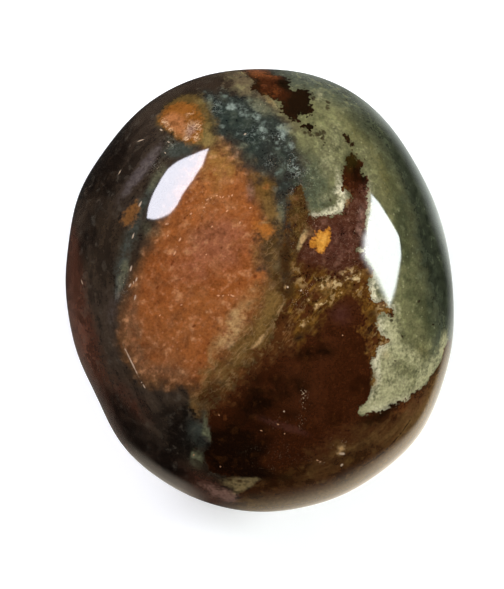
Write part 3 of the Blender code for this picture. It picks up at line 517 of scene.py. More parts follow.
# The minerals: each has its ground, then the thin tones over it. A thin tone is a colour or
# another mineral, with the field that shows it, where that starts and is full, and its most
MINERALS = {
    # the stone's ground, charcoal clay: dark and calm, drawn out in dim streaks along the rim
    "slate": ("#31261b", (
        ("#3b3026", "drift", 0.4, 0.62, 0.9),
        ("#241c15", "drawn", 0.52, 0.36, 0.8),
        ("#44372a", "drawn", 0.52, 0.7, 0.8),
        ("#3c4038", "lagoon", 0.1, 1.0, 0.9),
        ("#564c49", "rose", 0.1, 1.0, 0.9),
        ("#45281c", "liver", 0.05, 0.9, 0.9),
        ("#5e3c2e", "liver", 1.1, 2.2, 0.8),
        ("#120c08", "soot", 0.05, 0.8, 0.95),
        ("#372a1e", "dusk", 0.05, 0.9, 0.6),
        ("#66664c", "moss", 0.05, 1.0, 0.9),
        ("#5a554c", "clouds", 0.3, 0.9, 0.8),
        ("#211b16", "mottle", 0.48, 0.28, 0.3),
        ("#544d42", "mottle", 0.54, 0.76, 0.3),
        ("#7d7a6e", "threads", 0.035, 0.0, "frost"),
        ("#4c4f38", "under", 0.52, 0.58, "belly"),
        ("#7a4626", "under", 0.6, 0.64, "belly"),
        ("#35190c", "under", 0.47, 0.41, "belly"),
    )),
    # chlorite and celadonite in chalcedony: dark blue-green with pale, cloudy spots and threads
    "sea_green": ("#2a2d27", (
        ("#222a25", "lagoon", 0.1, 1.0, 0.7),
        ("#28251f", "dusk", 0.1, 1.0, 0.9),
        ("#4a5042", "patchy", 0.5, 0.72, 0.6),
        ("#1c211d", "mottle", 0.5, 0.3, 0.4),
        ("#626b60", "mottle", 0.56, 0.76, 0.7),
        ("#858f82", "clouds", 0.35, 1.0, 0.75),
        ("#8d948a", "threads", 0.035, 0.0, "frost"),
    )),
    # the fawn clay that borders the sea green: dull and dusty
    "mushroom": ("#5c4e38", (
        ("#736a48", "mottle", 0.48, 0.7, 0.7),
        ("#40392a", "patchy", 0.52, 0.34, 0.7),
        ("#968860", "cream", 0.2, 1.0, 0.6),
    )),
    # fine-grained sage green jasper: speckled like felt, with cream along the dark heart
    "sage": ("#5d5a3c", (
        ("#6c6946", "drift", 0.4, 0.62, 0.8),
        ("#4b4931", "cloud", 0.52, 0.32, 0.6),
        ("#454936", "lagoon", 0.1, 1.0, 0.9),
        ("#5c542e", "honey", 0.1, 1.0, 0.8),
        # darker olive down the right side: painted shade deepening towards the dark band
        ("#3c3e27", "deep_and_shade", 0.1, 1.0, 0.95),
        # greyer and darker within 5 mm of the rim: painted shade and reflection where the face turns down
        ("#42473d", "past_rim", -5.0, -1.0, 0.85),
        ("#827f57", "mottle", 0.5, 0.76, 0.45),
        ("#43412c", "mottle", 0.48, 0.28, 0.5),
        ("#45472c", "patchy", 0.5, 0.32, 0.35),
        ("#a39d76", "bright", 0.1, 1.1, 0.82),
        ("#9d9e84", "threads", 0.03, 0.0, "frost"),
        ("#a39f7a", "pale_crumb", 0.0, 1.0, 0.25),
        ("#37371f", "dark_crumb", 0.0, 1.0, 0.3),
        # cream along the heart; beside the right window's mirror image it is partly a painted haze of the
        # reflection
        ("#cfc5a6", "heart_edge", -9.0, -1.0, "cream"),
        ("#b5ab86", "cream", 0.4, 1.2, 0.4),
        # the dark band down the right side: partly the stone's own darker green, partly painted shade
        within("sage_shade"),
    )),
    # the darker sage along the right side, mottled like moss: partly the stone's own darker green, partly
    # painted shade where the side turns from the light and mirrors the dark room
    "sage_shade": ("#282b1f", (
        ("#363a2b", "patchy", 0.46, 0.66, 0.8),
        ("#171a12", "mottle", 0.5, 0.3, 0.7),
        ("#414433", "mottle", 0.55, 0.74, 0.5),
        ("#4b4d37", "honey", 0.2, 1.0, 0.4),
    )),
    # iron-red jasper: granular and warm, golden at its top and dull towards its edges
    "terracotta": ("#844820", (
        ("#8f5429", "drift", 0.42, 0.62, 0.7),
        ("#6c4022", "cloud", 0.5, 0.3, 0.7),
        ("#8a5238", "rose", 0.1, 1.0, 0.8),
        ("#87602e", "honey", 0.1, 1.0, 0.9),
        ("#664830", "dusk", 0.1, 1.0, 0.8),
        ("#5a4024", "terracotta", 2.4, -0.6, 0.7),
        ("#8e6238", "fawn", 0.1, 1.0, 0.8),
        ("#8f5c36", "patchy", 0.52, 0.72, 0.55),
        ("#63391d", "patchy", 0.48, 0.3, 0.45),
        ("#a06943", "slant", 0.5, 0.74, 0.45),
        ("#6c3a1c", "mottle", 0.46, 0.26, 0.45),
        ("#b9855b", "mottle", 0.55, 0.8, 0.6),
        ("#bf8b66", "pale_crumb", 0.0, 1.0, 0.2),
        ("#5a2a12", "dark_crumb", 0.0, 1.0, 0.12),
    )),
    # the fawn and olive belt beside the terracotta: drawn out in slanting threads
    "olive": ("#604522", (
        ("#72542c", "cloud", 0.48, 0.68, 0.8),
        ("#3e3018", "patchy", 0.52, 0.32, 0.6),
        ("#8c6840", "fawn", 0.1, 1.0, 0.8),
        ("#382610", "dusk", 0.1, 1.0, 0.8),
        ("#7f6238", "slant", 0.5, 0.74, 0.6),
        ("#38290f", "slant", 0.48, 0.28, 0.5),
        ("#957650", "strands", 0.04, 0.0, 0.4),
    )),
    # dense liver-brown jasper: deep and plain, nearly black in its hollows
    "chocolate": ("#331607", (
        ("#42210f", "drift", 0.42, 0.62, 0.7),
        ("#220d03", "cloud", 0.52, 0.32, 0.7),
        ("#4a2a22", "rose", 0.1, 1.0, 0.7),
        ("#4f3416", "honey", 0.1, 1.0, 0.6),
        # the dark by the island, and painted shade down the right side
        ("#241c06", "deep_and_shade", 0.1, 1.0, 0.9),
        ("#120702", "soot", 0.05, 0.8, 0.92),
        ("#47270f", "mottle", 0.54, 0.76, 0.3),
        ("#5a351c", "pale_crumb", 0.0, 1.0, 0.15),
    )),
    # the browner, greenish lower edge of the chocolate
    "bronze": ("#452a14", (
        ("#594022", "drawn", 0.48, 0.68, 0.9),
        ("#55331f", "liver", 0.1, 1.0, 0.9),
        ("#2c1608", "cloud", 0.52, 0.34, 0.8),
        ("#4a3818", "honey", 0.1, 1.0, 0.8),
        ("#5f4627", "mottle", 0.54, 0.74, 0.45),
        # lighter olive-tan towards the rim: painted reflection of the pale room below
        ("#6b5530", "past_rim", -3.2, -0.4, 0.75),
        ("#201003", "soot", 0.05, 0.8, 0.8),
    )),
    # purple-brown jasper with a fine pinkish grain
    "mulberry": ("#442518", (
        ("#4e2c22", "rose", 0.1, 1.0, 0.7),
        ("#361b0f", "cloud", 0.52, 0.32, 0.7),
        ("#664535", "mottle", 0.52, 0.74, 0.6),
        ("#28120b", "mottle", 0.48, 0.28, 0.6),
        ("#765644", "threads", 0.04, 0.0, 0.3),
        ("#8a6654", "pale_crumb", 0.0, 1.0, 0.4),
    )),
    # ochre and cream strands, broken up in dark brown: it glitters beside the dark
    "gilding": ("#553512", (
        ("#43200f", "cloud", 0.53, 0.4, 0.85),
        ("#2a1607", "patchy", 0.5, 0.32, 0.8),
        ("#73501e", "slant", 0.5, 0.68, 0.8),
        ("#6a4b1e", "mottle", 0.52, 0.7, 0.6),
        ("#2c1a08", "slant", 0.46, 0.3, 0.6),
        ("#8a6836", "glint", 0.15, 1.0, 0.6),
        ("#7f6030", "strands", 0.03, 0.0, 0.4),
        ("#b39a6e", "shreds", 0.03, -0.03, "glint"),
        ("#2c1a08", "grit", 0.42, 0.26, 0.5),
    )),
    # rusty brown, threaded and grainy
    "rust": ("#483014", (
        ("#61452a", "mottle", 0.5, 0.74, 0.7),
        ("#3a3a1c", "cloud", 0.52, 0.36, 0.5),
        ("#26180a", "patchy", 0.52, 0.34, 0.75),
        ("#7d6238", "threads", 0.04, 0.0, 0.35),
        ("#20130a", "dark_crumb", 0.0, 1.0, 0.5),
    )),
    # the seam of red-brown between the olive belt and the chocolate: streaked on the slant
    "rust_seam": ("#4c2b13", (
        ("#65401f", "slant", 0.5, 0.74, 0.7),
        ("#7c5a34", "strands", 0.035, 0.0, 0.5),
        ("#2e1708", "patchy", 0.52, 0.34, 0.7),
        ("#6f4a28", "mottle", 0.54, 0.76, 0.5),
        ("#8a6b48", "pale_crumb", 0.0, 1.0, 0.35),
    )),
    # the patch at the top: rust at its left, nearly black at its right and in its rind
    "summit": ("#3b1c0b", (
        ("#4a2a15", "honey", 0.3, 1.0, 0.9),
        # warmer, lighter brown towards the rim: a painted reflection of a thumb held by the rim
        ("#7a4420", "past_rim", -2.2, -0.2, 0.85),
        ("#281307", "patchy", 0.52, 0.36, 0.6),
        ("#5e3820", "mottle", 0.54, 0.74, 0.4),
        ("#1c1206", "summit_edge", 9.0, 1.0, 0.8),
        ("#150d05", "soot", 0.1, 0.8, 0.92),
    )),
    # the orange-brown crust at the upper left, curdled with cream
    "crust": ("#7a4a1c", (
        ("#875320", "patchy", 0.46, 0.66, 0.8),
        ("#9f663c", "lobe", -0.9, 0.6, 0.9),
        ("#5a3212", "mottle", 0.46, 0.28, 0.5),
        ("#a58062", "curd", 0.4, 1.1, 0.7),
        ("#dcb890", "threads", 0.075, 0.01, "curd"),
    )),
    # the olive gold that the crust fades into
    "crust_halo": ("#5a4622", (
        ("#6e5c30", "patchy", 0.48, 0.68, 0.8),
        ("#403418", "mottle", 0.5, 0.3, 0.6),
        ("#7f6a3c", "honey", 0.1, 1.0, 0.8),
    )),
    # the one bright spot: clean yellow ochre, darker where it is thin
    "yolk": ("#b67c2e", (
        ("#a0661f", "mottle", 0.5, 0.3, 0.8),
        ("#c48f42", "mottle", 0.54, 0.74, 0.7),
        ("#8a4c16", "yolk_edge", 3.0, 0.5, 0.7),
    )),
    # the dark heart of the face: the chocolate, and all that lies in it
    "heart": ("chocolate", (
        within("bronze"),
        within("mulberry"),
        within("rust_column", "rust"),
        within("rust_seam"),
        within("gilding"),
        within("fringe_gold", "gilding"),
    )),
    # single flecks: creamy quartz, then salmon, ink and russet, by the number of their kind
    "fleck": ("#c9b095", (
        ("#cf9a72", "fleck_kind", 0.4, 0.6, 1.0),
        ("#23120a", "fleck_kind", 1.4, 1.6, 1.0),
        ("#5e2812", "fleck_kind", 2.4, 2.6, 1.0),
    )),
    # the whole stone, from the ground up
    "stone": ("slate", (
        within("sea_green"),
        within("mushroom", most="above"),
        within("sage"),
        within("terracotta"),
        within("olive"),
        within("ochre_spot", "#63471f", 0.9),
        within("heart"),
        within("summit", most="above"),
        within("island", "#241608"),
        within("crust_halo", most=0.9),
        within("crust"),
        within("ember", "#6e4824", 0.9),
        within("ring", "#995c24", 0.9),
        within("yolk"),
        ("#5c5a44", "smoke", 0.1, 1.0, 0.8),
        ("#6e5229", "khaki", 0.1, 1.0, 0.8),
        # pinkish tints; low at the bottom rim partly a painted reflection of a finger, and beside the right
        # window's mirror image a painted haze of the reflection
        ("#856456", "blush", 0.1, 1.0, 0.85),
        ("#8c7850", "straw", 0.1, 1.0, 0.8),
        ("#94562a", "brick", 0.1, 1.0, 0.8),
        ("#2f1c0b", "umber", 0.1, 1.0, 0.85),
        ("#a98659", "tan", 0.15, 1.1, 0.85),
        ("#b0997c", "dots", 0.72, 0.58, "sprinkle"),
        ("fleck", "off_centre", 1.45, 0.8, "fleck_cover"),
    )),
}


def linear(code):
    """A colour given as an sRGB hex value, turned to linear light."""
    parts = [int(code[start:start + 2], 16) / 255 for start in (1, 3, 5)]
    light = [part / 12.92 if part <= 0.04045 else ((part + 0.055) / 1.055) ** 2.4 for part in parts]
    return (*light, 1.0)


def add_node(tree, kind, inputs=None, **settings):
    """Adds one node, makes its settings, and fills or links its inputs."""
    made = tree.nodes.new("ShaderNode" + kind)
    for name, value in settings.items():
        setattr(made, name, value)
    for socket, value in (inputs or {}).items():
        if isinstance(value, bpy.types.NodeSocket):
            tree.links.new(value, made.inputs[socket])
        else:
            made.inputs[socket].default_value = value
    return made


def calc(tree, operation, *values):
    """One step of arithmetic on numbers."""
    return add_node(tree, "Math", dict(enumerate(values)), operation=operation).outputs[0]


def calc_places(tree, operation, *values):
    """One step of arithmetic on places."""
    return add_node(tree, "VectorMath", dict(enumerate(values)), operation=operation).outputs[0]


def rise(tree, value, start, full, most=1.0):
    """Goes softly from nought, where a value starts to count, up to its most, where it is full."""
    span = {"Value": value, "From Min": start, "From Max": full, "To Max": most}
    return add_node(tree, "MapRange", span, interpolation_type="SMOOTHSTEP").outputs[0]


# The stone's form


def rim_radius(angles):
    """The outline's radius in each direction, on the smooth closed curve through RIM_RADII_MM."""
    count = len(RIM_RADII_MM)
    radii = np.zeros_like(angles)
    for step, measured in enumerate(RIM_RADII_MM):
        gap = angles - step * math.tau / count
        on_it = np.abs(np.sin(gap / 2)) < 1e-9
        gap = np.where(on_it, 1.0, gap)
        share = np.where(on_it, 1.0, np.sin(count * gap / 2) / (count * np.tan(gap / 2)))
        radii += measured * share
    return radii


def ground_form(corners, half_thickness):
    """Points of a cube from -1 to 1, carried out to the ground stone, in mm from the rim's middle."""
    spread = np.tan(corners * math.pi / 4)
    outward = spread / np.linalg.norm(spread, axis=1, keepdims=True)
    angles = np.arctan2(outward[:, 1], outward[:, 0])
    radii = rim_radius(angles) * np.hypot(outward[:, 0], outward[:, 1]) ** (2 / FULLNESS)
    lean = outward[:, 2] ** 3
    points = np.empty_like(outward)
    points[:, 0] = radii * np.cos(angles) + LEAN_MM[0] * lean
    points[:, 1] = radii * np.sin(angles) + LEAN_MM[1] * lean
    points[:, 2] = half_thickness * outward[:, 2]
    return points + outward * polishing_waves(points)[:, None]


def polishing_waves(points):
    """How far the hand polish stands off the true form at each point, in mm."""
    draw = np.random.default_rng(WAVE_SEED)
    height = np.zeros(len(points))
    for _ in range(WAVE_COUNT):
        way = draw.normal(size=3)
        way /= np.linalg.norm(way)
        length = WAVE_LENGTH_MM * draw.uniform(*WAVE_SPREAD)
        height += WAVE_HEIGHT_MM * np.sin(points @ way * math.tau / length + draw.uniform(0, math.tau))
    return height


def make_pebble():
    """The stone's skin, as one closed mesh, its points in mm from the rim's middle, and that middle."""
    low, high = (np.array(corner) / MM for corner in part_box("pebble"))
    half_thickness = (high[2] - low[2] + FLAT_DEPTH_MM) / 2
    skin = bmesh.new()
    bmesh.ops.create_cube(skin, size=2.0)
    bmesh.ops.subdivide_edges(skin, edges=skin.edges[:], cuts=FACES_PER_SIDE - 1, use_grid_fill=True)
    mesh = bpy.data.meshes.new("pebble_skin")
    skin.to_mesh(mesh)
    skin.free()
    corners = np.empty(len(mesh.vertices) * 3)
    mesh.vertices.foreach_get("co", corners)
    points = ground_form(corners.reshape(-1, 3), half_thickness)
    points[:, 2] = np.maximum(points[:, 2], FLAT_DEPTH_MM - half_thickness)
    middle = (points.min(axis=0) + points.max(axis=0)) / 2
    shift = np.array((low[0] + high[0], low[1] + high[1], 0)) / 2 - middle
    shift[2] = low[2] + half_thickness - FLAT_DEPTH_MM
    mesh.vertices.foreach_set("co", ((points + shift) * MM).ravel())
    mesh.update()
    mesh.shade_smooth()
    pebble = bpy.data.objects.new("polished_pebble", mesh)
    bpy.context.scene.collection.objects.link(pebble)
    return pebble, points, shift


# The camera


def camera_offset():
    """Where the picture's middle falls on the sheet, in mm."""
    across = (PICTURE_SIZE_PX[0] / 2 - SHEET_MIDDLE_PX[0]) / PIXELS_PER_MM
    up = (SHEET_MIDDLE_PX[1] - PICTURE_SIZE_PX[1] / 2) / PIXELS_PER_MM
    return np.array((across, up))


def make_camera(shift):
    """A long lens straight above the stone, so that the outline is seen with little perspective."""
    data = bpy.data.cameras.new("camera")
    data.sensor_width = SENSOR_MM
    data.lens = SENSOR_MM * CAMERA_HEIGHT_MM * PIXELS_PER_MM / max(PICTURE_SIZE_PX)
    camera = bpy.data.objects.new("camera", data)
    place = np.array((*camera_offset(), CAMERA_HEIGHT_MM)) + shift
    camera.location = Vector(place) * MM
    bpy.context.scene.collection.objects.link(camera)
    bpy.context.scene.camera = camera


# The tracing sheet


def sheet_places(points):
    """Where each point of the skin lies on the sheet. The belly is folded out past the rim."""
    eye = np.array((*camera_offset(), CAMERA_HEIGHT_MM))
    seen = eye[:2] + (points[:, :2] - eye[:2]) * (eye[2] / (eye[2] - points[:, 2]))[:, None]
    reach = np.hypot(points[:, 0], points[:, 1])
    edge = rim_radius(np.arctan2(points[:, 1], points[:, 0]))
    outward = points[:, :2] / np.maximum(reach, 1e-6)[:, None]
    folded = outward * (2 * edge - reach)[:, None]
    return np.where(points[:, 2:] >= 0, seen, folded)


def past_the_rim(sheet):
    """How far beyond the rim each place on the sheet lies, in mm. It is negative on the face."""
    return np.hypot(sheet[:, 0], sheet[:, 1]) - rim_radius(np.arctan2(sheet[:, 1], sheet[:, 0]))


def lifted(skin, places):
    """The points of the skin that lie under, or past the rim over, some places on the sheet."""
    places = np.array(places, float)
    eye = Vector((*camera_offset(), CAMERA_HEIGHT_MM))
    found = []
    for place, past in zip(places, past_the_rim(places)):
        reach = np.hypot(*place)
        if past < -RIM_MARGIN_MM:
            towards = Vector((*place, 0)) - eye
            hit = skin.ray_cast(eye, towards.normalized())[0]
        else:
            inward = place * min(1.0, (reach - 2 * past) / reach, (reach - past - RIM_MARGIN_MM) / reach)
            hit = skin.ray_cast(Vector((*inward, -CAMERA_HEIGHT_MM)), Vector((0, 0, 1)))[0]
        found.append(hit)
    return np.array(found)


def rounded(corners):
    """The smooth closed curve through an outline's points, as short straight steps."""
    corners = np.array(corners, float)
    before, after, beyond = (np.roll(corners, shift, axis=0) for shift in (1, -1, -2))
    bend = 2 * before - 5 * corners + 4 * after - beyond
    twist = 3 * corners - before - 3 * after + beyond
    steps = []
    for t in np.arange(STEPS_PER_CORNER) / STEPS_PER_CORNER:
        steps.append(corners + (after - before) * t / 2 + bend * t * t / 2 + twist * t ** 3 / 2)
    return np.stack(steps, axis=1).reshape(-1, 2)


def distance_inside(outline, skin, points, sheet):
    """How far inside an outline each point lies, in mm over the skin. It is negative outside."""
    corners = rounded(outline)
    solid = lifted(skin, corners).astype(np.float32)
    points = points.astype(np.float32)
    nearest = np.full(len(points), np.inf, dtype=np.float32)
    inside = np.zeros(len(points), dtype=bool)
    for number in range(len(corners)):
        start, step = solid[number - 1], solid[number] - solid[number - 1]
        away = points - start
        share = np.clip(away @ step / max(step @ step, 1e-9), 0, 1)
        away -= share[:, None] * step
        nearest = np.minimum(nearest, np.einsum("ij,ij->i", away, away))
        (x1, y1), (x2, y2) = corners[number - 1], corners[number]
        if y1 != y2:
            crosses = ((y1 > sheet[:, 1]) != (y2 > sheet[:, 1]))
            inside ^= crosses & (sheet[:, 0] < (x2 - x1) * (sheet[:, 1] - y1) / (y2 - y1) + x1)
    return np.where(inside, 1, -1) * np.sqrt(nearest)


def wash(dabs, sheet):
    """The strength of one tone over the sheet, as the sum of its soft dabs."""
    strength = np.zeros(len(sheet))
    for x, y, along, across, turn, most in dabs:
        turn = math.radians(turn)
        away = sheet - (x, y)
        u = (away @ (math.cos(turn), math.sin(turn))) / along
        v = (away @ (-math.sin(turn), math.cos(turn))) / across
        strength += most * np.exp(-(u * u + v * v))
    return strength


def nearest_fleck(skin, points):
    """For each point, the nearest fleck's kind, the gap to it, and the place in its own ellipse."""
    nearest = np.full(len(points), np.inf)
    place = np.zeros((len(points), 3))
    kind = np.zeros(len(points))
    for number, flecks in enumerate(FLECKS.values()):
        for x1, y1, x2, y2, half_width in flecks:
            start, end = lifted(skin, ((x1, y1), (x2, y2)))
            middle, along = (start + end) / 2, end - start
            length = np.linalg.norm(along)
            along = along / length if length > 0.01 else np.array((1.0, 0.0, 0.0))
            across = np.cross(skin.find_nearest(Vector(middle))[1], along)
            away = points - middle
            on_line = np.clip(away @ along, -length / 2, length / 2)[:, None] * along
            gap = np.linalg.norm(away - on_line, axis=1)
            closer = gap < nearest
            nearest[closer] = gap[closer]
            place[closer, 0] = (away @ along)[closer] / (length / 2 + half_width)
            place[closer, 1] = (away @ across)[closer] / half_width
            kind[closer] = number
    return kind, nearest, place


def trace_markings(pebble, points):
    """Puts every marking on the skin: a distance for each outline, a strength for each wash."""
    mesh = pebble.data
    skin = BVHTree.FromPolygons(points.tolist(), [face.vertices[:] for face in mesh.polygons])
    sheet = sheet_places(points)
    traced = {"past_rim": past_the_rim(sheet)}
    for name, outline in OUTLINES.items():
        traced[name] = distance_inside(outline, skin, points, sheet)
    for name, dabs in WASHES.items():
        traced[name] = wash(dabs, sheet)
    traced["fleck_kind"], traced["fleck_gap"], place = nearest_fleck(skin, points)
    for name, values in traced.items():
        mesh.attributes.new(name, "FLOAT", "POINT").data.foreach_set("value", values.astype(np.float32))
    ellipse = mesh.attributes.new("fleck_place", "FLOAT_VECTOR", "POINT")
    ellipse.data.foreach_set("vector", place.astype(np.float32).ravel())


# The stone's colours


def painted(tree, fields, ground, layers):
    """Lays thin tones over a ground, as MINERALS gives them."""
    ground = as_tone(tree, fields, ground)
    for tone, field, start, full, most in layers:
        most = fields[most] if isinstance(most, str) else most
        share = rise(tree, fields[field], start, full, most)
        tones = {0: share, 6: ground, 7: as_tone(tree, fields, tone)}
        ground = add_node(tree, "Mix", tones, data_type="RGBA").outputs[2]
    return ground


def as_tone(tree, fields, tone):
    """A hex value as a linear colour, or a mineral by its name, painted."""
    return linear(tone) if tone.startswith("#") else painted(tree, fields, *MINERALS[tone])


def noise(tree, where, size, **settings):
    """Cloudy noise of a size in mm."""
    return add_node(tree, "TexNoise", {"Vector": where, "Scale": 1 / size, **settings}).outputs["Fac"]


def thin_lines(tree, field):
    """Nought along the winding lines where a field passes its middle, and more beside them."""
    return calc(tree, "ABSOLUTE", calc(tree, "SUBTRACT", field, 0.5))


def add_lines(tree, fields, where):
    """Streaks and strands on the slant, dim streaks along the rim, and winding threads."""
    slanted = {0: where, "Rotation": (0, 0, math.radians(SLANT_DEG))}
    slanted = add_node(tree, "Mapping", slanted, vector_type="TEXTURE").outputs[0]
    slanted = calc_places(tree, "MULTIPLY", slanted, SLANT_STRETCH)
    fields["slant"] = noise(tree, slanted, STREAKS_MM, Detail=2.0)
    fields["strands"] = thin_lines(tree, noise(tree, slanted, STRANDS_MM, Detail=2.0, Distortion=0.4))
    apart = add_node(tree, "SeparateXYZ", {0: where}).outputs
    rimwise = add_node(tree, "CombineXYZ", {0: fields["past_rim"], 1: apart[1], 2: apart[2]}).outputs[0]
    rimwise = calc_places(tree, "MULTIPLY", rimwise, RIM_STREAKS)
    fields["drawn"] = noise(tree, rimwise, 1.0, Detail=4.0, Roughness=0.6)
    fields["threads"] = thin_lines(tree, noise(tree, where, THREADS_MM, Detail=2.0, Distortion=0.5))


def add_grains(tree, fields, where):
    """Pale and dark crumbs, and the finest pale grains."""
    crumbs = add_node(tree, "TexVoronoi", {"Vector": where, "Scale": 1 / CRUMBS_APART_MM}).outputs
    drawn_lot = add_node(tree, "SeparateColor", {0: crumbs["Color"]}).outputs["Red"]
    for name, (radius, lot) in CRUMBS.items():
        near = rise(tree, crumbs["Distance"], radius, radius / 3)
        fields[name] = calc(tree, "MULTIPLY", near, calc(tree, "COMPARE", drawn_lot, lot, CRUMBS_LOT))
    grains = add_node(tree, "TexVoronoi", {"Vector": where, "Scale": 1 / SPRINKLE_MM}).outputs
    fields["dots"] = calc(tree, "ADD", grains["Distance"], fields["mottle"])


def add_mixed(tree, fields):
    """The fields that are mixed from others, as MIXED gives them."""
    for name, (first, others, evened) in MIXED.items():
        mixed = fields[first]
        for other, share in others.items():
            mixed = calc(tree, "MULTIPLY_ADD", fields[other], share, mixed)
        fields[name] = calc(tree, "ADD", mixed, evened)


def add_edges(tree, fields):
    """Where the belly's own colours show, the washes broken up by the grain, and each outline's edge."""
    fields["belly"] = rise(tree, fields["past_rim"], *BELLY_MM)
    above = calc(tree, "MULTIPLY_ADD", fields["torn"], BELLY_RAGGED_MM, fields["past_rim"])
    fields["above"] = rise(tree, above, *LAST_SHOWN_MM)
    uneven = calc(tree, "MULTIPLY_ADD", fields["torn"], UNEVEN, 1.0)
    for name in WASHES:
        if name != "melt":
            fields[name] = calc(tree, "MULTIPLY", fields[name], uneven)
    for name in OUTLINES:
        fields[name + "_edge"] = grown_edge(tree, fields, name)


def grown_edge(tree, fields, name):
    """An outline's edge as the mineral grew: -1 where it starts to show, 1 where it is whole."""
    reach, fade = EDGES_MM[name]
    breaks = fields["blurred" if fade > CRISP_MM else "lobed"]
    reach = calc(tree, "MULTIPLY_ADD", fields["melt"], MELT_RAGGED_MM, reach)
    reach = calc(tree, "MULTIPLY_ADD", fields["belly"], BELLY_RAGGED_MM, reach)
    broken = calc(tree, "MULTIPLY_ADD", breaks, reach, fields[name])
    fade = calc(tree, "MULTIPLY_ADD", fields["melt"], MELT_FADE_MM, fade)
    return calc(tree, "DIVIDE", broken, fade)


def add_flecks(tree, fields):
    """Each fleck's ellipse, roughened by the grain, and how fully it covers what lies under it."""
    place = add_node(tree, "Attribute", attribute_name="fleck_place").outputs["Vector"]
    off_centre = add_node(tree, "VectorMath", {0: place}, operation="LENGTH").outputs["Value"]
    fields["off_centre"] = calc(tree, "MULTIPLY_ADD", fields["grit"], FLECK_ROUGH, off_centre)
    close = calc(tree, "LESS_THAN", fields["fleck_gap"], FLECK_REACH_MM)
    fields["fleck_cover"] = calc(tree, "MULTIPLY", close, FLECK_COVER)


def polished_jasper(pebble):
    """Polychrome jasper, tumbled and buffed to a wet gloss: chalcedony stained by iron and clay."""
    material = bpy.data.materials.new("polished_polychrome_jasper")
    material.use_nodes = True
    tree = material.node_tree
    fields = {}
    for name in ("past_rim", "fleck_kind", "fleck_gap", *OUTLINES, *WASHES):
        fields[name] = add_node(tree, "Attribute", attribute_name=name).outputs["Fac"]
    where = add_node(tree, "TexCoord").outputs["Object"]
    where = add_node(tree, "VectorMath", {0: where, "Scale": 1 / MM}, operation="SCALE").outputs[0]
    for name, (size, detail, roughness) in GRAIN.items():
        fields[name] = noise(tree, where, size, Detail=detail, Roughness=roughness)
    add_lines(tree, fields, where)
    add_mixed(tree, fields)
    add_grains(tree, fields, where)
    add_edges(tree, fields)
    add_flecks(tree, fields)
    stone = as_tone(tree, fields, "stone")
    grain = 1 - sum(GRAIN_DEPTH.values()) / 2
    for name, depth in GRAIN_DEPTH.items():
        grain = calc(tree, "MULTIPLY_ADD", fields[name], depth, grain)
    stone = add_node(tree, "VectorMath", {0: stone, "Scale": grain}, operation="SCALE").outputs[0]
    surface = tree.nodes["Principled BSDF"]
    tree.links.new(stone, surface.inputs["Base Color"])
    surface.inputs["Roughness"].default_value = POLISH_ROUGHNESS
    surface.inputs["IOR"].default_value = QUARTZ_IOR
    pebble.data.materials.append(material)


# The floor and the light

FLOOR_REACH = 3.0  # in metres, to each side
FLOOR_GLOW = 0.36  # it lights itself a little, so that it is as pale as the picture's ground
WINDOW_DISTANCE = 0.7  # in metres, from the ground under the stone
GLOW_FALL = 2.5  # how steeply a window's light dies away over its soft edge
EVEN_LIGHT = 0.43  # what the room gives the stone from all round


def make_floor():
    """A plain sheet of pale, matt paper under the stone. It takes a soft shadow and nothing else."""
    data = bpy.data.meshes.new("floor")
    corners = [(a * FLOOR_REACH, b * FLOOR_REACH, 0) for a, b in ((-1, -1), (1, -1), (1, 1), (-1, 1))]
    data.from_pydata(corners, [], [(0, 1, 2, 3)])
    material = bpy.data.materials.new("pale_matt_paper")
    material.use_nodes = True
    surface = material.node_tree.nodes["Principled BSDF"]
    surface.inputs["Base Color"].default_value = linear("#f4f4f4")
    surface.inputs["Emission Color"].default_value = linear("#ffffff")
    surface.inputs["Emission Strength"].default_value = FLOOR_GLOW
    surface.inputs["Roughness"].default_value = 0.9
    surface.inputs["Specular IOR Level"].default_value = 0.1
    data.materials.append(material)
    floor = bpy.data.objects.new("floor", data)
    floor.visible_glossy = False
    bpy.context.scene.collection.objects.link(floor)


# Each window panel: azimuth, elevation, colour, strength, and its corners in cm as it hangs, each
# with the width of the soft edge there
WINDOWS = {
    "window_left": (
        131, 41, "#eaeaf6", 21.5,
        (
            (-19.2, -1.1, 0.8), (-11.2, -3.7, 0.8), (-2.3, -7.7, 0.8), (3.3, -9.5, 0.8), (7.6, -9.1, 0.8),
            (11.3, -7.6, 0.8), (19.6, 0.6, 0.8), (16, 6.2, 1), (8.6, 13.5, 1), (6.7, 13.9, 1),
            (3.4, 11.9, 1), (-4.4, 10.2, 1), (-12.1, 6.5, 1),
        ),
    ),
    "window_right": (
        16, 31, "#f7ffff", 20.0,
        (
            (15.9, -3.9, 0.8), (13.7, -6.8, 0.8), (2.6, -12, 0.6), (1, -12.8, 0.6), (-2.9, -11.1, 1.2),
            (-5.1, -10, 1.4), (-8.8, -4.6, 2.2), (-11.2, -1, 3.2), (-14.6, 4.9, 4.6), (-1.2, 17.9, 6.6),
            (4.2, 14.4, 5), (9.1, 8.4, 1.6),
        ),
    ),
}


